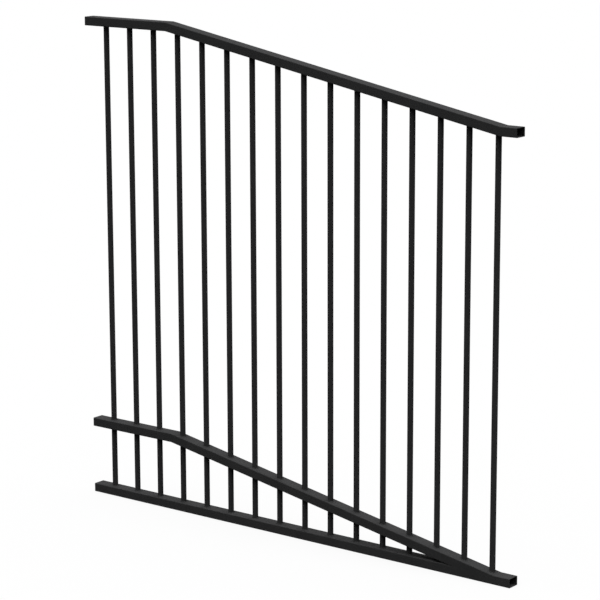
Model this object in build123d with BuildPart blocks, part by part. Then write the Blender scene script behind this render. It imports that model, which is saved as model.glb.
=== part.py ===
# Raked fence panel of rectangular tube rails and round tube pickets.
# Lengths are in millimetres. The origin is the centre of the bottom rail's end at the tall side.
# +X runs along the panel to the short side, +Y to the back and +Z up.

import os
from math import atan2, cos, hypot, sin, tan

from build123d import *

# Outline of the panel from the front
panel_length = 1450.0
tall_height = 1400.0
level_run = 300.0
stub_run = 50.0
drop = 200.0

# Rail section, a rectangular tube lying flat
rail_depth = 38.0
rail_height = 25.0
rail_wall = 1.6
rail_corner = 2.0
bore_corner = 0.4

# Pickets, round tube
picket_count = 16
picket_diameter = 16.0
picket_wall = 1.2
end_margin = 65.0

# Fit of the pickets in the holes punched through the mid rail
hole_clearance = 0.25

# The rake, the same for the top rail and the mid rail
upper_kink = level_run
lower_kink = panel_length - stub_run
rake_run = lower_kink - upper_kink
rake = atan2(drop, rake_run)
rake_length = hypot(drop, rake_run)

# Heights of the rails' centrelines above that of the bottom rail
half_rail = rail_height / 2
top_axis = tall_height - rail_height
short_axis = top_axis - drop
mid_axis = drop

# Where the faces of a raked rail meet, past the kinks of its centreline
mitre_shift = half_rail * tan(rake / 2)

# The mid rail runs out on the bottom rail: its underside lands at the start, its upper face at the tip
bottom_top_face = half_rail
landing_start = lower_kink - half_rail * (1 + 1 / cos(rake)) / tan(rake)
landing_tip = lower_kink + mitre_shift

# Pickets up to the landing go through the mid rail, the others stand on it
picket_pitch = (panel_length - 2 * end_margin) / (picket_count - 1)
picket_xs = [end_margin + picket_pitch * i for i in range(picket_count)]
through_xs = [x for x in picket_xs if x < landing_start]
hole_radius = picket_diameter / 2 + hole_clearance

# How far tubes and cuts are run past the faces that trim them
reach = rail_height

os.makedirs("parts", exist_ok=True)


def rail_tube(start_x, start_z, length, fall=0.0):
    """Extrude the hollow rail section from a point of its centreline, falling by the angle given."""
    along = Plane(origin=(start_x, 0, start_z), x_dir=(0, 1, 0), z_dir=(cos(fall), 0, -sin(fall)))
    with BuildSketch(along) as section:
        RectangleRounded(rail_depth, rail_height, rail_corner)
        bore_size = (rail_depth - 2 * rail_wall, rail_height - 2 * rail_wall)
        RectangleRounded(*bore_size, bore_corner, mode=Mode.SUBTRACT)
    extrude(section.sketch, amount=length)


def raked_tube(tall_axis):
    """Extrude a raked rail past the kinks at both of its ends."""
    start_x = upper_kink - reach * cos(rake)
    start_z = tall_axis + reach * sin(rake)
    rail_tube(start_x, start_z, rake_length + 2 * reach, rake)


def mitre(kink, axis):
    """Plane that halves the angle between a level and a raked rail, facing the short side."""
    return Plane(origin=(kink, 0, axis), z_dir=(cos(rake / 2), 0, -sin(rake / 2)))


def punch_picket_holes():
    """Punch upright holes through both walls of the mid rail, also where it rakes."""
    heights = [mid_axis - drop * max(x - upper_kink, 0) / rake_run for x in through_xs]
    with Locations(*[(x, 0, z) for x, z in zip(through_xs, heights)]):
        Cylinder(hole_radius, 2 * reach, mode=Mode.SUBTRACT)


def cut_to_outline(*corners):
    """Keep what lies inside an outline drawn on the front view."""
    with BuildSketch(Plane.XZ) as outline:
        with BuildLine():
            Polyline(*corners, close=True)
        make_face()
    extrude(outline.sketch, amount=rail_depth, both=True, mode=Mode.INTERSECT)


# Bottom rail, level and full length
with BuildPart() as bottom_rail:
    rail_tube(0, 0, panel_length)
bottom_rail.part.label = "bottom_rail"
export_step(bottom_rail.part, "parts/bottom_rail.step")

# Mid rail, level piece at the tall side
with BuildPart() as mid_rail_level:
    rail_tube(0, mid_axis, upper_kink + reach)
    split(bisect_by=mitre(upper_kink, mid_axis), keep=Keep.BOTTOM)
    punch_picket_holes()
mid_rail_level.part.label = "mid_rail_level"
export_step(mid_rail_level.part, "parts/mid_rail_level.step")

# Mid rail, raked piece, scribed to the upper face of the bottom rail
with BuildPart() as mid_rail_rake:
    raked_tube(mid_axis)
    split(bisect_by=mitre(upper_kink, mid_axis), keep=Keep.TOP)
    split(bisect_by=Plane.XY.offset(bottom_top_face), keep=Keep.TOP)
    punch_picket_holes()
mid_rail_rake.part.label = "mid_rail_rake"
export_step(mid_rail_rake.part, "parts/mid_rail_rake.step")

# Top rail, level piece at the tall side
with BuildPart() as top_rail_upper:
    rail_tube(0, top_axis, upper_kink + reach)
    split(bisect_by=mitre(upper_kink, top_axis), keep=Keep.BOTTOM)
top_rail_upper.part.label = "top_rail_upper"
export_step(top_rail_upper.part, "parts/top_rail_upper.step")

# Top rail, raked piece, mitred at both ends
with BuildPart() as top_rail_rake:
    raked_tube(top_axis)
    split(bisect_by=mitre(upper_kink, top_axis), keep=Keep.TOP)
    split(bisect_by=mitre(lower_kink, short_axis), keep=Keep.BOTTOM)
top_rail_rake.part.label = "top_rail_rake"
export_step(top_rail_rake.part, "parts/top_rail_rake.step")

# Top rail, level stub at the short side
with BuildPart() as top_rail_lower:
    rail_tube(lower_kink - reach, short_axis, stub_run + reach)
    split(bisect_by=mitre(lower_kink, short_axis), keep=Keep.TOP)
top_rail_lower.part.label = "top_rail_lower"
export_step(top_rail_lower.part, "parts/top_rail_lower.step")

# Underside of the top rail, which the picket heads are cut to, from the tall side to the short side
head_line = [
    (-reach, top_axis - half_rail),
    (upper_kink - mitre_shift, top_axis - half_rail),
    (lower_kink - mitre_shift, short_axis - half_rail),
    (panel_length + reach, short_axis - half_rail),
]

# Faces that the picket feet are cut to, from the short side back: the bottom rail, or the mid rail on it
bottom_line = [(panel_length + reach, bottom_top_face), (-reach, bottom_top_face)]
landing_line = [
    (panel_length + reach, bottom_top_face),
    (landing_tip, bottom_top_face),
    (upper_kink + mitre_shift, mid_axis + half_rail),
    (-reach, mid_axis + half_rail),
]

# Pickets, each a tube cut to the faces of the rails above and below it
for number, x in enumerate(picket_xs, start=1):
    with BuildPart() as picket:
        with BuildSketch():
            with Locations((x, 0)):
                Circle(picket_diameter / 2)
                Circle(picket_diameter / 2 - picket_wall, mode=Mode.SUBTRACT)
        extrude(amount=tall_height)
        foot_line = bottom_line if x in through_xs else landing_line
        cut_to_outline(*head_line, *foot_line)
    picket.part.label = f"picket_{number:02d}"
    export_step(picket.part, f"parts/picket_{number:02d}.step")
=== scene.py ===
"""Looks of the raked fence panel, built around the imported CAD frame.

Lengths are in metres, in the CAD frame: +X runs along the panel to the short side, +Y to the back
and +Z up, from the centre of the bottom rail's end at the tall side.
"""

import logging
from collections.abc import Callable, Iterator
from contextlib import contextmanager
from dataclasses import dataclass, field, replace
from enum import Enum, auto
from math import atan2, cos, hypot, pi, radians, sin, tan

import bmesh
import bpy
from mathutils import Matrix, Vector


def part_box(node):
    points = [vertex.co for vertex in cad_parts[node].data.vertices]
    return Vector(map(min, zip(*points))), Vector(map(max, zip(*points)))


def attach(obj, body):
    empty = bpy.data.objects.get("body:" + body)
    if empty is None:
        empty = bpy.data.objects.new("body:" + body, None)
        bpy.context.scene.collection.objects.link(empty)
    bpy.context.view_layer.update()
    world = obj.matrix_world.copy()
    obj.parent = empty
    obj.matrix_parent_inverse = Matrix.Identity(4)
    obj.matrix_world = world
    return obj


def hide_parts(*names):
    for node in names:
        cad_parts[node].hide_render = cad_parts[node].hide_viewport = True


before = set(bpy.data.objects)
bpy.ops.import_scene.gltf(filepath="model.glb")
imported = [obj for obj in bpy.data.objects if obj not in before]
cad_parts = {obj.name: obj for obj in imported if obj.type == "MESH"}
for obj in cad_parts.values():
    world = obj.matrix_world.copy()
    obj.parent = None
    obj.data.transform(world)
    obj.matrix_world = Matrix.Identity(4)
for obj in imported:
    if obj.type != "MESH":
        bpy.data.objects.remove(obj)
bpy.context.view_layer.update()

LOG = logging.getLogger("fence_panel")
BODY = "root"
SLOT = "black_powder_coat"
MM = 0.001
MERGE_DISTANCE = 1e-6
ON_PLANE = 1e-5
SMOOTH_ANGLE = radians(35)
ALONG = Vector((1, 0, 0))
UP = Vector((0, 0, 1))
WHITE = (1.0, 1.0, 1.0, 1.0)


class Pick(Enum):
    """Kind of mesh element that an edit selects."""

    VERT = "verts"
    EDGE = "edges"
    FACE = "faces"


class EndForm(Enum):
    """How the end of a rail is finished."""

    OPEN = auto()
    MITRED = auto()
    SCRIBED = auto()


class Seat(Enum):
    """Face of a rail, with the sign of its height above the centreline."""

    UPPER = 1
    LOWER = -1


class Side(Enum):
    """Side of the panel, with the sign of its place along Y."""

    FRONT = -1
    BACK = 1


def on_front(x: float, z: float) -> Vector:
    """Place or direction on the front view, in the middle of the panel's depth."""
    return Vector((x, 0, z))


def named(piece: bpy.types.Object, name: str) -> bpy.types.Object:
    """Name an object and its mesh.

    Args:
        piece: The object.
        name: The name of both.

    Returns:
        The object.
    """
    piece.name = name
    piece.data.name = name
    return piece


def make_active(piece: bpy.types.Object) -> None:
    """Select one object alone and make it active.

    Args:
        piece: The object.
    """
    bpy.ops.object.select_all(action="DESELECT")
    piece.select_set(True)
    bpy.context.view_layer.objects.active = piece


def add_apart(add: Callable[..., set[str]], name: str, **options: object) -> bpy.types.Object:
    """Add a primitive with nothing else selected.

    Args:
        add: The operator that adds it.
        name: Name of the new object.
        **options: The operator's options.

    Returns:
        The new object, selected and active.
    """
    bpy.ops.object.select_all(action="DESELECT")
    add(**options)
    return named(bpy.context.active_object, name)


def copy_apart(source: bpy.types.Object, name: str) -> bpy.types.Object:
    """Copy an object with a mesh of its own.

    Args:
        source: The object to copy.
        name: Name of the copy.

    Returns:
        The copy, selected and active.
    """
    make_active(source)
    bpy.ops.object.duplicate(linked=False)
    return named(bpy.context.active_object, name)


def join(pieces: list[bpy.types.Object], name: str) -> bpy.types.Object:
    """Join objects into one.

    Args:
        pieces: The objects.
        name: Name of the joined object.

    Returns:
        The joined object.
    """
    make_active(pieces[0])
    for piece in pieces:
        piece.select_set(True)
    bpy.ops.object.join()
    return named(bpy.context.active_object, name)


def settle(piece: bpy.types.Object) -> None:
    """Move an object's place, turn and scale into its mesh."""
    make_active(piece)
    bpy.ops.object.transform_apply(location=True, rotation=True, scale=True)


def remove(piece: bpy.types.Object) -> None:
    """Delete a helper object."""
    make_active(piece)
    bpy.ops.object.delete()


@contextmanager
def editing(piece: bpy.types.Object) -> Iterator[None]:
    """Keep an object in edit mode for a block of edits.

    Args:
        piece: The object to edit.

    Yields:
        Nothing, once edit mode is on.
    """
    make_active(piece)
    bpy.ops.object.mode_set(mode="EDIT")
    yield
    bpy.ops.object.mode_set(mode="OBJECT")


def select_only(piece: bpy.types.Object, pick: Pick, test: Callable[..., bool]) -> None:
    """Select the elements of an edited mesh that pass a test, and no others.

    Args:
        piece: The object in edit mode.
        pick: Kind of element.
        test: Whether an element is wanted.
    """
    bpy.ops.mesh.select_mode(type=pick.name)
    bpy.ops.mesh.select_all(action="DESELECT")
    shape = bmesh.from_edit_mesh(piece.data)
    for element in getattr(shape, pick.value):
        if test(element):
            element.select_set(True)
    bmesh.update_edit_mesh(piece.data)


def hollow_out(piece: bpy.types.Object, axis: Vector, wall: float) -> None:
    """Turn an edited bar into a tube by an inset of both ends and a bridge between them.

    Args:
        piece: The object in edit mode.
        axis: The bar's direction, in its own frame.
        wall: Thickness of the tube.
    """

    def is_end(face: bmesh.types.BMFace) -> bool:
        """Whether a face lies across the bar."""
        return abs(face.normal.dot(axis)) > cos(SMOOTH_ANGLE)

    select_only(piece, Pick.FACE, is_end)
    bpy.ops.mesh.inset(thickness=wall, use_even_offset=True)
    bpy.ops.mesh.bridge_edge_loops()


def clean_up() -> None:
    """Merge doubles in the edited mesh and turn its faces outwards."""
    bpy.ops.mesh.select_all(action="SELECT")
    bpy.ops.mesh.remove_doubles(threshold=MERGE_DISTANCE)
    bpy.ops.mesh.normals_make_consistent(inside=False)


def smooth(piece: bpy.types.Object) -> None:
    """Shade rounded edges smooth and keep flat faces flat.

    Args:
        piece: The object.
    """
    make_active(piece)
    bpy.ops.object.shade_smooth_by_angle(angle=SMOOTH_ANGLE)
    bpy.ops.object.modifier_add(type="WEIGHTED_NORMAL")
    weighted = piece.modifiers[-1]
    weighted.keep_sharp = True
    bpy.ops.object.modifier_apply(modifier=weighted.name)


def dress(piece: bpy.types.Object, coat: bpy.types.Material, *nodes: str) -> bpy.types.Object:
    """Finish a piece: smooth it, coat it and tie it to the frame.

    Args:
        piece: The piece, with its place in its mesh.
        coat: Its material.
        *nodes: CAD nodes that it stands for.

    Returns:
        The piece.
    """
    smooth(piece)
    piece.data.materials.clear()
    piece.data.materials.append(coat)
    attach(piece, BODY)
    if nodes:
        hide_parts(*nodes)
    return piece


@dataclass(frozen=True)
class CutPlane:
    """Plane that a piece is cut at, with its normal towards what is cut away."""

    point: Vector
    outward: Vector

    def holds(self, place: Vector) -> bool:
        """Whether a place lies on the plane."""
        return abs((place - self.point).dot(self.outward)) < ON_PLANE

    def cut_tube(self) -> None:
        """Cut the edited tube here and close its wall."""
        self._cut(fill=False)
        bpy.ops.mesh.bridge_edge_loops()

    def cut_solid(self) -> None:
        """Cut the edited solid here and close it with a face."""
        self._cut(fill=True)

    def _cut(self, fill: bool) -> None:
        """Cut away what lies beyond the plane.

        Args:
            fill: Whether a face closes the cut.
        """
        bpy.ops.mesh.select_mode(type=Pick.EDGE.name)
        bpy.ops.mesh.select_all(action="SELECT")
        bpy.ops.mesh.bisect(
            plane_co=self.point, plane_no=self.outward, clear_outer=True, use_fill=fill
        )


@dataclass(frozen=True)
class RailEnd(CutPlane):
    """Cut at one end of a rail's centreline."""

    form: EndForm


@dataclass(frozen=True)
class BarSection:
    """Rectangular section with rounded corners."""

    depth: float
    height: float
    corner: float
    corner_segments: int = 7

    def bar(self, name: str, tail: Vector, head: Vector) -> bpy.types.Object:
        """Model a solid bar of this section between two points of the front view.

        Args:
            name: Name of the bar.
            tail: Middle of its end at the tall side.
            head: Middle of its end at the short side.

        Returns:
            The bar, with its place and turn still its own.
        """
        along = head - tail
        bar = add_apart(
            bpy.ops.mesh.primitive_cube_add,
            name,
            size=1.0,
            location=(tail + head) / 2,
            rotation=(0.0, atan2(-along.z, along.x), 0.0),
            scale=(along.length, self.depth, self.height),
        )
        bpy.ops.object.transform_apply(location=False, rotation=False, scale=True)

        def runs_along(edge: bmesh.types.BMEdge) -> bool:
            """Whether an edge goes from one end of the bar to the other."""
            return edge.verts[0].co.x * edge.verts[1].co.x < 0

        with editing(bar):
            select_only(bar, Pick.EDGE, runs_along)
            bpy.ops.mesh.bevel(offset=self.corner, segments=self.corner_segments, affect="EDGES")
        bpy.context.view_layer.update()
        return bar


@dataclass(frozen=True)
class PanelLayout:
    """Sizes that the rails, the pickets and the welds share."""

    panel_length: float
    rail_depth: float
    rail_height: float
    drop: float
    top_axis: float
    level_run: float = 300 * MM
    stub_run: float = 50 * MM
    rail_wall: float = 1.6 * MM
    rail_corner: float = 2 * MM
    picket_radius: float = 8 * MM
    picket_wall: float = 1.2 * MM
    hole_clearance: float = 0.25 * MM

    @classmethod
    def from_frame(cls) -> "PanelLayout":
        """Read the sizes that the boxes of the level rails show.

        Returns:
            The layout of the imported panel.
        """
        rail_low, rail_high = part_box("bottom_rail")
        mid_low, mid_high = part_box("mid_rail_level")
        top_low, top_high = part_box("top_rail_upper")
        rail = rail_high - rail_low
        return cls(
            panel_length=rail.x,
            rail_depth=rail.y,
            rail_height=rail.z,
            drop=(mid_low.z + mid_high.z) / 2,
            top_axis=(top_low.z + top_high.z) / 2,
        )

    @property
    def half_rail(self) -> float:
        """Half the height of a rail."""
        return self.rail_height / 2

    @property
    def lower_kink(self) -> float:
        """Place along the panel where the rakes end."""
        return self.panel_length - self.stub_run

    @property
    def rake(self) -> float:
        """Angle by which the raked rails fall."""
        return atan2(self.drop, self.lower_kink - self.level_run)

    @property
    def bend(self) -> Vector:
        """Direction that halves the angle between a level and a raked rail."""
        return on_front(cos(self.rake / 2), -sin(self.rake / 2))

    @property
    def short_axis(self) -> float:
        """Height of the top rail's centreline at the short side."""
        return self.top_axis - self.drop

    @property
    def landing_start(self) -> float:
        """Place where the underside of the mid rail reaches the bottom rail."""
        return self.lower_kink - self.half_rail * (1 + 1 / cos(self.rake)) / tan(self.rake)

    @property
    def landing_middle(self) -> float:
        """Place where the centreline of the mid rail reaches the bottom rail."""
        return self.lower_kink - self.half_rail / tan(self.rake)

    @property
    def landing_tip(self) -> float:
        """Place where the upper face of the mid rail reaches the bottom rail."""
        return self.lower_kink + self.half_rail * tan(self.rake / 2)

    def section(self, sink: float = 0.0) -> BarSection:
        """Outside of a rail, or a section that lies a little within it."""
        depth, height = self.rail_depth - 2 * sink, self.rail_height - 2 * sink
        return BarSection(depth, height, self.rail_corner - sink)


@dataclass(frozen=True)
class RailLine:
    """Centreline of a rail, level at the tall side, that may rake between the kinks."""

    layout: PanelLayout
    tall_axis: float
    raked: bool = True

    def fall_at(self, x: float) -> float:
        """Angle by which the rail falls at a place along the panel."""
        between_kinks = self.layout.level_run < x < self.layout.lower_kink
        return self.layout.rake if self.raked and between_kinks else 0.0

    def axis_at(self, x: float) -> float:
        """Height of the centreline at a place before the lower kink."""
        return self.tall_axis - (x - self.layout.level_run) * tan(self.fall_at(x))

    def face_at(self, x: float, seat: Seat) -> float:
        """Height of the upper or lower face at a place before the lower kink."""
        return self.axis_at(x) + seat.value * self.layout.half_rail / cos(self.fall_at(x))

    def seat_plane(self, x: float, seat: Seat) -> CutPlane:
        """Find the plane of a face at a picket, facing into the rail.

        Args:
            x: The picket's place along the panel.
            seat: The face.

        Returns:
            The plane that the picket is cut at.
        """
        fall = self.fall_at(x)
        into_rail = -on_front(sin(fall), cos(fall)) * seat.value
        return CutPlane(on_front(x, self.face_at(x, seat)), into_rail)


@dataclass(frozen=True)
class PowderCoat:
    """Black powder coat, nearly matt, with an orange peel and a fine grain."""

    name: str = SLOT
    thin_colour: tuple[float, float, float, float] = (0.034, 0.034, 0.0345, 1.0)
    thick_colour: tuple[float, float, float, float] = (0.0245, 0.0245, 0.025, 1.0)
    specular: float = 0.004
    smoothest: float = 0.56
    roughest: float = 0.66
    cloud_scale: float = 22.0
    cloud_detail: float = 3.0
    peel_scale: float = 420.0
    peel_detail: float = 1.5
    peel_strength: float = 0.8
    grain_scale: float = 1900.0
    grain_detail: float = 2.0
    grain_strength: float = 0.7
    bump_distance: float = 0.2 * MM

    def material(self) -> bpy.types.Material:
        """Build the coat's node material.

        Returns:
            The material, on the pieces' own coordinates.
        """
        made = bpy.data.materials.new(self.name)
        made.use_nodes = True
        tree = made.node_tree
        shader = tree.nodes["Principled BSDF"]
        shader.inputs["Specular IOR Level"].default_value = self.specular
        place = tree.nodes.new("ShaderNodeTexCoord").outputs["Object"]

        cloud = self._noise(tree, place, self.cloud_scale, self.cloud_detail)
        colour = tree.nodes.new("ShaderNodeMix")
        colour.data_type = "RGBA"
        colour.inputs["A"].default_value = self.thick_colour
        colour.inputs["B"].default_value = self.thin_colour
        tree.links.new(cloud, colour.inputs["Factor"])
        tree.links.new(colour.outputs["Result"], shader.inputs["Base Color"])

        peel = self._noise(tree, place, self.peel_scale, self.peel_detail)
        gloss = tree.nodes.new("ShaderNodeMapRange")
        gloss.inputs["To Min"].default_value = self.smoothest
        gloss.inputs["To Max"].default_value = self.roughest
        tree.links.new(peel, gloss.inputs["Value"])
        tree.links.new(gloss.outputs["Result"], shader.inputs["Roughness"])

        grain = self._noise(tree, place, self.grain_scale, self.grain_detail)
        waves = self._bump(tree, peel, self.peel_strength)
        specks = self._bump(tree, grain, self.grain_strength)
        tree.links.new(waves.outputs["Normal"], specks.inputs["Normal"])
        tree.links.new(specks.outputs["Normal"], shader.inputs["Normal"])
        return made

    @staticmethod
    def _noise(
        tree: bpy.types.NodeTree, place: bpy.types.NodeSocket, scale: float, detail: float
    ) -> bpy.types.NodeSocket:
        """Add a noise pattern on the piece's coordinates.

        Args:
            tree: The material's nodes.
            place: Socket of the coordinates.
            scale: Patches per metre.
            detail: Octaves of the noise.

        Returns:
            The socket of the pattern's value.
        """
        node = tree.nodes.new("ShaderNodeTexNoise")
        node.inputs["Scale"].default_value = scale
        node.inputs["Detail"].default_value = detail
        tree.links.new(place, node.inputs["Vector"])
        return node.outputs["Fac"]

    def _bump(
        self, tree: bpy.types.NodeTree, height: bpy.types.NodeSocket, strength: float
    ) -> bpy.types.ShaderNodeBump:
        """Add a bump from a height pattern.

        Args:
            tree: The material's nodes.
            height: Socket of the pattern.
            strength: Share of the bump that shows.

        Returns:
            The bump node.
        """
        node = tree.nodes.new("ShaderNodeBump")
        node.inputs["Strength"].default_value = strength
        node.inputs["Distance"].default_value = self.bump_distance
        tree.links.new(height, node.inputs["Height"])
        return node


@dataclass
class Rail:
    """Rectangular tube between two ends of a centreline."""

    node: str
    layout: PanelLayout
    start: RailEnd
    finish: RailEnd
    punched: list[Vector] = field(default_factory=list)
    deburr: float = 0.35 * MM
    deburr_segments: int = 3
    weld_prep: float = 1.1 * MM
    weld_prep_segments: int = 1
    overrun: float = 30 * MM
    scribe_overrun: float = 160 * MM
    hole_sides: int = 48

    def build(self, coat: bpy.types.Material) -> bpy.types.Object:
        """Model the rail and dress it.

        Args:
            coat: Its material.

        Returns:
            The finished rail.
        """
        rail = self._bar()
        unplace = rail.matrix_world.inverted()
        with editing(rail):
            hollow_out(rail, ALONG, self.layout.rail_wall)
        settle(rail)
        with editing(rail):
            for end in (self.start, self.finish):
                self._finish_end(rail, end, unplace)
            clean_up()
        if self.punched:
            self._punch(rail)
        return dress(rail, coat, self.node)

    def _spare(self, end: RailEnd) -> float:
        """Length that is left on at an end for its cut."""
        spare = {EndForm.OPEN: 0.0, EndForm.MITRED: self.overrun, EndForm.SCRIBED: self.scribe_overrun}
        return spare[end.form]

    def _bar(self) -> bpy.types.Object:
        """Model the solid bar that the rail is made from.

        Returns:
            The bar, with its place and turn still its own.
        """
        along = (self.finish.point - self.start.point).normalized()
        tail = self.start.point - along * self._spare(self.start)
        head = self.finish.point + along * self._spare(self.finish)
        return self.layout.section().bar(f"{self.node}_tube", tail, head)

    def _is_outside(self, local: Vector) -> bool:
        """Tell the outside of the tube from its bore.

        Args:
            local: Place on a wall, in the bar's own frame.

        Returns:
            Whether the place is on the outside.
        """
        half_wall = self.layout.rail_wall / 2
        beyond_depth = abs(local.y) > self.layout.rail_depth / 2 - half_wall
        beyond_height = abs(local.z) > self.layout.half_rail - half_wall
        return beyond_depth or beyond_height

    def _finish_end(self, rail: bpy.types.Object, end: RailEnd, unplace: Matrix) -> None:
        """Cut an end of the edited tube and ease its edges.

        Args:
            rail: The rail in edit mode.
            end: The end.
            unplace: Turns a place into the bar's own frame.
        """
        if end.form is not EndForm.OPEN:
            end.cut_tube()
        if end.form is EndForm.SCRIBED:
            return
        mitred = end.form is EndForm.MITRED

        def on_rim(edge: bmesh.types.BMEdge) -> bool:
            """Tell the edges that are eased.

            Args:
                edge: An edge of the rail.

            Returns:
                Whether it runs round the end, and on the outside where the end is welded.
            """
            if not all(end.holds(vert.co) for vert in edge.verts):
                return False
            sides = [self._is_outside(unplace @ vert.co) for vert in edge.verts]
            return all(sides) or (not mitred and not any(sides))

        select_only(rail, Pick.EDGE, on_rim)
        width = self.weld_prep if mitred else self.deburr
        segments = self.weld_prep_segments if mitred else self.deburr_segments
        bpy.ops.mesh.bevel(offset=width, segments=segments, affect="EDGES")

    def _punch(self, rail: bpy.types.Object) -> None:
        """Punch the upright picket holes through both walls.

        Args:
            rail: The rail.
        """
        cutters = [
            add_apart(
                bpy.ops.mesh.primitive_cylinder_add,
                f"{self.node}_punch",
                vertices=self.hole_sides,
                radius=self.layout.picket_radius + self.layout.hole_clearance,
                depth=2 * self.layout.rail_height,
                location=place,
            )
            for place in self.punched
        ]
        punch = join(cutters, f"{self.node}_punch")
        make_active(rail)
        bpy.ops.object.modifier_add(type="BOOLEAN")
        cut = rail.modifiers[-1]
        cut.operation = "DIFFERENCE"
        cut.solver = "EXACT"
        cut.object = punch
        bpy.ops.object.modifier_apply(modifier=cut.name)
        remove(punch)


@dataclass
class PicketStock:
    """The length of round tube that every picket is cut from."""

    layout: PanelLayout
    sides: int = 64
    overrun: float = 50 * MM

    def build(self) -> bpy.types.Object:
        """Model the stock tube.

        Returns:
            The tube, upright at the origin and longer than any picket.
        """
        stock = add_apart(
            bpy.ops.mesh.primitive_cylinder_add,
            "picket_stock",
            vertices=self.sides,
            radius=self.layout.picket_radius,
            depth=self.layout.top_axis + 2 * self.overrun,
            location=(0.0, 0.0, self.layout.top_axis / 2),
        )
        settle(stock)
        with editing(stock):
            hollow_out(stock, UP, self.layout.picket_wall)
            clean_up()
        return stock


@dataclass
class Picket:
    """Round tube from a seat on one rail to a seat on another."""

    node: str
    x: float
    foot: CutPlane
    head: CutPlane

    def build(self, stock: bpy.types.Object, coat: bpy.types.Material) -> bpy.types.Object:
        """Cut the picket from a copy of the stock tube and dress it.

        Args:
            stock: The stock tube, upright at the origin.
            coat: The picket's material.

        Returns:
            The finished picket.
        """
        picket = copy_apart(stock, f"{self.node}_tube")
        with editing(picket):
            bpy.ops.mesh.select_all(action="SELECT")
            bpy.ops.transform.translate(value=(self.x, 0.0, 0.0))
            self.head.cut_tube()
            self.foot.cut_tube()
            clean_up()
        return dress(picket, coat, self.node)


@dataclass
class WeldBead:
    """Small rippled fillet weld round a picket on a rail's face."""

    layout: PanelLayout
    leg: float = 1.9 * MM
    bury: float = 0.6 * MM
    crown: float = 0.3
    crown_segments: int = 5
    steps: int = 108
    steps_per_ripple: int = 3
    ripple: float = 0.2 * MM

    def build(self, fall: float, seat: Seat) -> bpy.types.Object:
        """Model a bead at the origin, on a face that falls by an angle.

        Args:
            fall: Angle of the rail.
            seat: Face of the rail.

        Returns:
            The bead.
        """
        bead = self._section()
        with editing(bead):
            self._spin(bead)
            self._ripple(bead)
        bead.scale = (1 / cos(fall), 1.0, seat.value)
        settle(bead)
        bead.rotation_euler = (0.0, fall, 0.0)
        settle(bead)
        with editing(bead):
            clean_up()
        return bead

    def _section(self) -> bpy.types.Object:
        """Add the square that the bead's section is cut from, beside the picket.

        Returns:
            The square, upright on the front view.
        """
        side = self.leg + self.bury
        middle = side / 2 - self.bury
        square = add_apart(
            bpy.ops.mesh.primitive_plane_add,
            "weld_bead",
            size=side,
            location=(self.layout.picket_radius + middle, 0.0, middle),
            rotation=(pi / 2, 0.0, 0.0),
        )
        settle(square)
        return square

    def _spin(self, bead: bpy.types.Object) -> None:
        """Crown the section's free corner and spin it round the picket.

        Args:
            bead: The section in edit mode.
        """

        def is_free_corner(vert: bmesh.types.BMVert) -> bool:
            """Whether a corner is away from both the picket and the rail."""
            return vert.co.x > self.layout.picket_radius and vert.co.z > 0

        select_only(bead, Pick.VERT, is_free_corner)
        bpy.ops.mesh.bevel(
            offset=self.leg, segments=self.crown_segments, profile=self.crown, affect="VERTICES"
        )
        bpy.ops.mesh.select_all(action="SELECT")
        bpy.ops.mesh.delete(type="ONLY_FACE")
        bpy.ops.mesh.select_all(action="SELECT")
        bpy.ops.mesh.spin(steps=self.steps, angle=2 * pi, center=(0, 0, 0), axis=UP)
        clean_up()

    def _ripple(self, bead: bpy.types.Object) -> None:
        """Raise every few rows of the crown into ripples.

        Args:
            bead: The bead in edit mode.
        """
        step = 2 * pi / self.steps

        def on_ripple(vert: bmesh.types.BMVert) -> bool:
            """Tell the corners that are raised.

            Args:
                vert: A corner of the bead.

            Returns:
                Whether it is on the crown, in a row that is raised.
            """
            row = round(atan2(vert.co.y, vert.co.x) / step)
            beside = hypot(vert.co.x, vert.co.y) > self.layout.picket_radius + ON_PLANE
            return beside and vert.co.z > ON_PLANE and row % self.steps_per_ripple == 0

        select_only(bead, Pick.VERT, on_ripple)
        bpy.ops.transform.shrink_fatten(value=self.ripple)


@dataclass
class PicketWelds:
    """Row of welds where the pickets meet one face of a rail."""

    name: str
    bead: WeldBead
    line: RailLine
    seat: Seat
    xs: list[float]
    unevenness: float = 0.3 * MM
    lump_size: float = 6 * MM

    def build(self, coat: bpy.types.Material) -> bpy.types.Object:
        """Copy a bead to each picket, make them uneven and dress the row.

        Args:
            coat: Their material.

        Returns:
            The row as one piece.
        """
        falls = sorted({self.line.fall_at(x) for x in self.xs})
        masters = {fall: self.bead.build(fall, self.seat) for fall in falls}
        copies = [self._copy(masters[self.line.fall_at(x)], x) for x in self.xs]
        for master in masters.values():
            remove(master)
        row = join(copies, self.name)
        self._vary(row)
        return dress(row, coat)

    def _copy(self, master: bpy.types.Object, x: float) -> bpy.types.Object:
        """Copy a bead to a picket.

        Args:
            master: The bead at the origin.
            x: The picket's place along the panel.

        Returns:
            The copy, in place.
        """
        copy = copy_apart(master, self.name)
        copy.location = on_front(x, self.line.face_at(x, self.seat))
        settle(copy)
        return copy

    def _vary(self, row: bpy.types.Object) -> None:
        """Make each bead a little uneven, as a hand weld is.

        Args:
            row: The beads.
        """
        lumps = bpy.data.textures.new(f"{self.name}_lumps", type="CLOUDS")
        lumps.noise_scale = self.lump_size
        make_active(row)
        bpy.ops.object.modifier_add(type="DISPLACE")
        push = row.modifiers[-1]
        push.texture = lumps
        push.texture_coords = "GLOBAL"
        push.strength = self.unevenness
        bpy.ops.object.modifier_apply(modifier=push.name)


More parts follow.
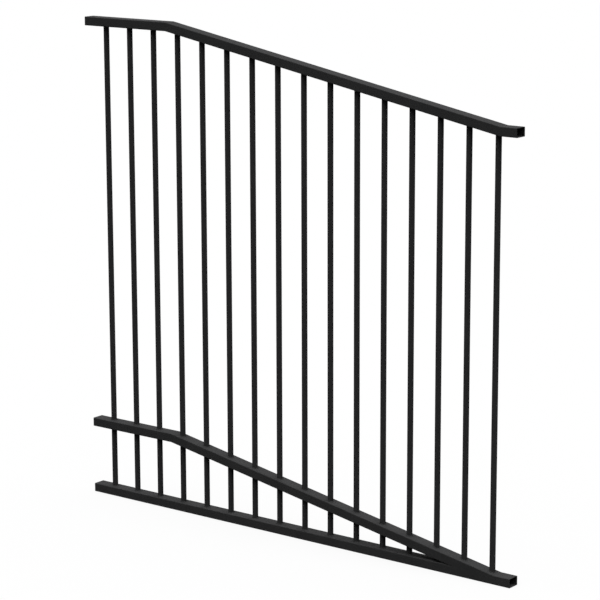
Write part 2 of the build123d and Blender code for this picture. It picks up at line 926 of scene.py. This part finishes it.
@dataclass
class MitreWeld:
    """Weld round a mitre, dressed nearly flush and leaning into the inside of the bend."""

    name: str
    layout: PanelLayout
    kink: Vector
    inside: Seat
    width: float = 2.4 * MM
    sink: float = 0.06 * MM
    lean: float = 0.09 * MM

    def build(self, coat: bpy.types.Material) -> bpy.types.Object:
        """Model the band and dress it.

        Args:
            coat: Its material.

        Returns:
            The finished band.
        """
        layout, half_rake = self.layout, self.layout.rake / 2
        mitred_height = layout.rail_height / cos(half_rake)
        section = replace(layout.section(self.sink), height=mitred_height - 2 * self.sink)
        inwards = on_front(sin(half_rake), cos(half_rake)) * self.inside.value
        middle = self.kink + inwards * self.lean
        reach = layout.bend * self.width / 2
        band = section.bar(self.name, middle - reach, middle + reach)
        with editing(band):
            hollow_out(band, ALONG, layout.rail_wall - self.sink)
            clean_up()
        settle(band)
        return dress(band, coat)


@dataclass
class LandingSeam:
    """Weld that fills the groove between the landed mid rail and the bottom rail, on one side."""

    name: str
    layout: PanelLayout
    side: Side
    sink: float = 0.08 * MM
    root: float = 17.45 * MM
    below: float = 1.9 * MM
    above: float = 0.5 * MM
    overrun: float = 30 * MM

    def build(self, coat: bpy.types.Material) -> bpy.types.Object:
        """Cut the filler from a bar that runs on where the mid rail is cut off, and dress it.

        Args:
            coat: Its material.

        Returns:
            The finished filler.
        """
        seam = self.layout.half_rail
        outwards = Vector((0, self.side.value, 0))
        cuts = [
            CutPlane(UP * (seam + self.above), UP),
            CutPlane(UP * (seam - self.below), -UP),
            CutPlane(outwards * self.root, -outwards),
        ]
        filler = self._bar()
        with editing(filler):
            for cut in cuts:
                cut.cut_solid()
            clean_up()
        return dress(filler, coat)

    def _bar(self) -> bpy.types.Object:
        """Model the bar, a little inside the faces of the mid rail.

        Returns:
            The bar, with its place in its mesh.
        """
        layout = self.layout
        fall = on_front(1, -tan(layout.rake))
        kink = on_front(layout.lower_kink, 0)
        tail = kink + fall * (layout.landing_start - layout.lower_kink - self.overrun)
        bar = layout.section(self.sink).bar(self.name, tail, kink + fall * self.overrun)
        settle(bar)
        return bar


@dataclass
class LandingTip:
    """Low weld across the feather edge where the mid rail runs out on the bottom rail."""

    name: str
    layout: PanelLayout
    half_width: float = 3.5 * MM
    height: float = 0.35 * MM
    end_margin: float = 5 * MM
    taper: float = 3 * MM
    taper_share: float = 0.12
    sides: int = 32

    def build(self, coat: bpy.types.Material) -> bpy.types.Object:
        """Model the weld and dress it.

        Args:
            coat: Its material.

        Returns:
            The finished weld.
        """
        middle = on_front(self.layout.landing_tip, self.layout.half_rail)
        bead = add_apart(
            bpy.ops.mesh.primitive_cylinder_add,
            self.name,
            vertices=self.sides,
            radius=1.0,
            depth=self.layout.rail_depth - 2 * self.end_margin,
            location=middle,
            rotation=(pi / 2, 0.0, 0.0),
        )
        bead.scale = (self.half_width, self.height, 1.0)
        settle(bead)
        with editing(bead):
            for side in Side:
                self._taper_end(bead, middle, side)
            clean_up()
        return dress(bead, coat)

    def _taper_end(self, bead: bpy.types.Object, middle: Vector, side: Side) -> None:
        """Run one end of the edited weld out to a point.

        Args:
            bead: The weld in edit mode.
            middle: Its middle.
            side: The end.
        """

        def is_end(face: bmesh.types.BMFace) -> bool:
            """Whether a face closes the weld at this end."""
            return face.normal.y * side.value > cos(SMOOTH_ANGLE)

        select_only(bead, Pick.FACE, is_end)
        outwards = (0.0, side.value * self.taper, 0.0)
        bpy.ops.mesh.extrude_region_move(TRANSFORM_OT_translate={"value": outwards})
        narrowed = (self.taper_share, 1.0, self.taper_share)
        bpy.ops.transform.resize(value=narrowed, center_override=middle)


@dataclass
class Panel:
    """The whole panel: three rails, sixteen pickets and their welds."""

    layout: PanelLayout
    bottom: RailLine = field(init=False)
    mid: RailLine = field(init=False)
    top: RailLine = field(init=False)
    mid_kink: Vector = field(init=False)
    top_kink: Vector = field(init=False)
    short_kink: Vector = field(init=False)
    picket_xs: dict[str, float] = field(init=False)
    through_xs: list[float] = field(init=False)

    def __post_init__(self) -> None:
        """Set out the rails and read the pickets' places from the frame."""
        layout = self.layout
        self.bottom = RailLine(layout, 0.0, raked=False)
        self.mid = RailLine(layout, layout.drop)
        self.top = RailLine(layout, layout.top_axis)
        self.mid_kink = on_front(layout.level_run, layout.drop)
        self.top_kink = on_front(layout.level_run, layout.top_axis)
        self.short_kink = on_front(layout.lower_kink, layout.short_axis)
        nodes = sorted(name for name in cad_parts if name.startswith("picket_"))
        self.picket_xs = {node: self._middle(node) for node in nodes}
        self.through_xs = [x for x in self.picket_xs.values() if x < layout.landing_start]

    def build(self, coat: bpy.types.Material) -> list[bpy.types.Object]:
        """Build every piece of the panel.

        Args:
            coat: The material of all of them.

        Returns:
            The finished pieces.
        """
        rails = [rail.build(coat) for rail in self._rails()]
        stock = PicketStock(self.layout).build()
        pickets = [picket.build(stock, coat) for picket in self._pickets()]
        remove(stock)
        welds = [weld.build(coat) for weld in self._welds()]
        return rails + pickets + welds

    @staticmethod
    def _middle(node: str) -> float:
        """Place along the panel of the middle of a CAD node."""
        low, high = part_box(node)
        return (low.x + high.x) / 2

    @staticmethod
    def _tall_end(line: RailLine) -> RailEnd:
        """Open end of a rail at the tall side."""
        return RailEnd(on_front(0, line.tall_axis), -ALONG, EndForm.OPEN)

    def _short_end(self, axis: float) -> RailEnd:
        """Open end of a rail at the short side, at the height of its centreline."""
        return RailEnd(on_front(self.layout.panel_length, axis), ALONG, EndForm.OPEN)

    def _mitre(self, kink: Vector) -> tuple[RailEnd, RailEnd]:
        """Ends that meet at a kink: that of the piece before it, then that of the piece after it."""
        bend = self.layout.bend
        return RailEnd(kink, bend, EndForm.MITRED), RailEnd(kink, -bend, EndForm.MITRED)

    def _rails(self) -> list[Rail]:
        """List the six rail pieces.

        Returns:
            The rails, from the bottom up.
        """
        layout = self.layout
        mid_before, mid_after = self._mitre(self.mid_kink)
        top_before, top_after = self._mitre(self.top_kink)
        short_before, short_after = self._mitre(self.short_kink)
        landing = RailEnd(on_front(layout.landing_middle, layout.half_rail), -UP, EndForm.SCRIBED)
        bottom_short = self._short_end(self.bottom.tall_axis)
        top_short = self._short_end(layout.short_axis)
        holes = [on_front(x, self.mid.axis_at(x)) for x in self.through_xs]
        level_holes = [hole for hole in holes if hole.x < layout.level_run]
        raked_holes = [hole for hole in holes if hole.x > layout.level_run]
        return [
            Rail("bottom_rail", layout, self._tall_end(self.bottom), bottom_short),
            Rail("mid_rail_level", layout, self._tall_end(self.mid), mid_before, level_holes),
            Rail("mid_rail_rake", layout, mid_after, landing, raked_holes),
            Rail("top_rail_upper", layout, self._tall_end(self.top), top_before),
            Rail("top_rail_rake", layout, top_after, short_before),
            Rail("top_rail_lower", layout, short_after, top_short),
        ]

    def _pickets(self) -> list[Picket]:
        """List the pickets.

        Returns:
            The pickets, from the tall side on.
        """
        pickets = []
        for node, x in self.picket_xs.items():
            foot_line = self.bottom if x in self.through_xs else self.mid
            foot = foot_line.seat_plane(x, Seat.UPPER)
            pickets.append(Picket(node, x, foot, self.top.seat_plane(x, Seat.LOWER)))
        return pickets

    def _welds(self) -> list[PicketWelds | MitreWeld | LandingSeam | LandingTip]:
        """List the welds.

        Returns:
            The rows round the pickets, the mitres and the landing.
        """
        layout, bead = self.layout, WeldBead(self.layout)
        through, every = self.through_xs, list(self.picket_xs.values())
        return [
            PicketWelds("bottom_rail_welds", bead, self.bottom, Seat.UPPER, through),
            PicketWelds("mid_rail_lower_welds", bead, self.mid, Seat.LOWER, through),
            PicketWelds("mid_rail_upper_welds", bead, self.mid, Seat.UPPER, every),
            PicketWelds("top_rail_welds", bead, self.top, Seat.LOWER, every),
            MitreWeld("mid_rail_mitre_weld", layout, self.mid_kink, Seat.LOWER),
            MitreWeld("top_rail_upper_mitre_weld", layout, self.top_kink, Seat.LOWER),
            MitreWeld("top_rail_lower_mitre_weld", layout, self.short_kink, Seat.UPPER),
            LandingSeam("landing_seam_front", layout, Side.FRONT),
            LandingSeam("landing_seam_back", layout, Side.BACK),
            LandingTip("landing_tip_weld", layout),
        ]


def shows_backdrop(tree: bpy.types.NodeTree) -> bpy.types.NodeSocket:
    """Tell the rays that see the white backdrop from those that only carry light.

    Args:
        tree: Nodes of the floor's paint or the dome.

    Returns:
        A socket that is 1 for camera, glossy and transmission rays.
    """
    path = tree.nodes.new("ShaderNodeLightPath")
    seen = path.outputs["Is Camera Ray"]
    for ray in ("Is Glossy Ray", "Is Transmission Ray"):
        either = tree.nodes.new("ShaderNodeMath")
        either.operation = "MAXIMUM"
        tree.links.new(seen, either.inputs[0])
        tree.links.new(path.outputs[ray], either.inputs[1])
        seen = either.outputs["Value"]
    return seen


@dataclass(frozen=True)
class SoftDome:
    """Light that is dim all round and bright overhead, and shows as a white backdrop."""

    name: str = "studio_dome"
    backdrop: float = 1.0
    around: float = 0.05
    overhead: float = 4.2
    fade_start: float = 0.45
    fade_end: float = 0.85

    @property
    def on_floor(self) -> float:
        """Light that the dome throws on a level surface.

        Returns:
            The light, as a share of what a white dome throws.
        """
        fade = self.fade_end - self.fade_start
        overhead_share = 1 - self.fade_end**2 + fade * (self.fade_start + fade * 2 / 3)
        return self.around + (self.overhead - self.around) * overhead_share

    def world(self) -> bpy.types.World:
        """Build the dome's node world.

        Returns:
            The world.
        """
        made = bpy.data.worlds.new(self.name)
        made.use_nodes = True
        tree = made.node_tree
        direction = tree.nodes.new("ShaderNodeTexCoord").outputs["Generated"]
        split = tree.nodes.new("ShaderNodeSeparateXYZ")
        tree.links.new(direction, split.inputs["Vector"])
        light = tree.nodes.new("ShaderNodeMapRange")
        light.inputs["From Min"].default_value = self.fade_start
        light.inputs["From Max"].default_value = self.fade_end
        light.inputs["To Min"].default_value = self.around
        light.inputs["To Max"].default_value = self.overhead
        tree.links.new(split.outputs["Z"], light.inputs["Value"])
        shown = tree.nodes.new("ShaderNodeMix")
        shown.inputs["B"].default_value = self.backdrop
        tree.links.new(shows_backdrop(tree), shown.inputs["Factor"])
        tree.links.new(light.outputs["Result"], shown.inputs["A"])
        sky = tree.nodes["Background"]
        sky.inputs["Color"].default_value = WHITE
        tree.links.new(shown.outputs["Result"], sky.inputs["Strength"])
        return made


@dataclass(frozen=True)
class FloorPaint:
    """Matt paint that shows as white, apart from the soft shadow on it."""

    dome: SoftDome
    name: str = "pale_floor"
    albedo: float = 0.04

    def material(self) -> bpy.types.Material:
        """Build the paint's node material, with a glow that lifts the lit floor to white.

        Returns:
            The material.
        """
        made = bpy.data.materials.new(self.name)
        made.use_nodes = True
        tree = made.node_tree
        tree.nodes.clear()
        matt = tree.nodes.new("ShaderNodeBsdfDiffuse")
        matt.inputs["Color"].default_value = (self.albedo, self.albedo, self.albedo, 1.0)
        lift = tree.nodes.new("ShaderNodeMath")
        lift.operation = "MULTIPLY"
        lift.inputs[1].default_value = self.dome.backdrop - self.albedo * self.dome.on_floor
        tree.links.new(shows_backdrop(tree), lift.inputs[0])
        glow = tree.nodes.new("ShaderNodeEmission")
        tree.links.new(lift.outputs["Value"], glow.inputs["Strength"])
        both = tree.nodes.new("ShaderNodeAddShader")
        tree.links.new(matt.outputs["BSDF"], both.inputs[0])
        tree.links.new(glow.outputs["Emission"], both.inputs[1])
        output = tree.nodes.new("ShaderNodeOutputMaterial")
        tree.links.new(both.outputs["Shader"], output.inputs["Surface"])
        return made


@dataclass(frozen=True)
class PhotoCamera:
    """Camera at the place that the photograph was taken from."""

    name: str = "camera"
    place: tuple[float, float, float] = (4.54119, -4.90734, 1.98367)
    yaw: float = radians(-37.661)
    pitch: float = radians(-12.061)
    roll: float = radians(0.1715)
    focal_length: float = 140.177
    sensor_width: float = 36.0

    @property
    def turn(self) -> Matrix:
        """Turn of the camera.

        Returns:
            The turn, as a matrix.
        """
        yaw, pitch, roll = self.yaw, self.pitch, self.roll
        ahead = Vector((sin(yaw) * cos(pitch), cos(yaw) * cos(pitch), sin(pitch)))
        level = Vector((cos(yaw), -sin(yaw), 0.0))
        down = ahead.cross(level)
        right = cos(roll) * level + sin(roll) * down
        up = sin(roll) * level - cos(roll) * down
        return Matrix((right, up, -ahead)).transposed().to_4x4()

    def build(self) -> bpy.types.Object:
        """Add the camera to the scene.

        Returns:
            The camera.
        """
        lens = bpy.data.cameras.new(self.name)
        lens.lens = self.focal_length
        lens.sensor_width = self.sensor_width
        camera = bpy.data.objects.new(self.name, lens)
        camera.matrix_world = Matrix.Translation(self.place) @ self.turn
        bpy.context.scene.collection.objects.link(camera)
        return camera


@dataclass
class Studio:
    """Pale floor, one broad soft light and the camera."""

    floor_height: float
    floor_side: float = 120.0
    dome: SoftDome = SoftDome()
    camera: PhotoCamera = PhotoCamera()

    def build(self) -> None:
        """Set up the floor, the light and the camera."""
        self._floor()
        bpy.context.scene.world = self.dome.world()
        bpy.context.scene.camera = self.camera.build()
        bpy.context.scene.view_settings.view_transform = "Standard"

    def _floor(self) -> None:
        """Add the floor that the panel stands on."""
        floor = add_apart(
            bpy.ops.mesh.primitive_plane_add,
            "floor",
            size=self.floor_side,
            location=(0.0, 0.0, self.floor_height),
        )
        settle(floor)
        floor.data.materials.append(FloorPaint(self.dome).material())


def main() -> None:
    """Build the panel and its studio."""
    logging.basicConfig(level=logging.INFO, format="%(name)s: %(message)s")
    layout = PanelLayout.from_frame()
    coat = PowderCoat().material()
    for piece in Panel(layout).build(coat):
        LOG.info("%s: %d faces", piece.name, len(piece.data.polygons))
    Studio(floor_height=-layout.half_rail).build()


if __name__ == "__main__":
    main()
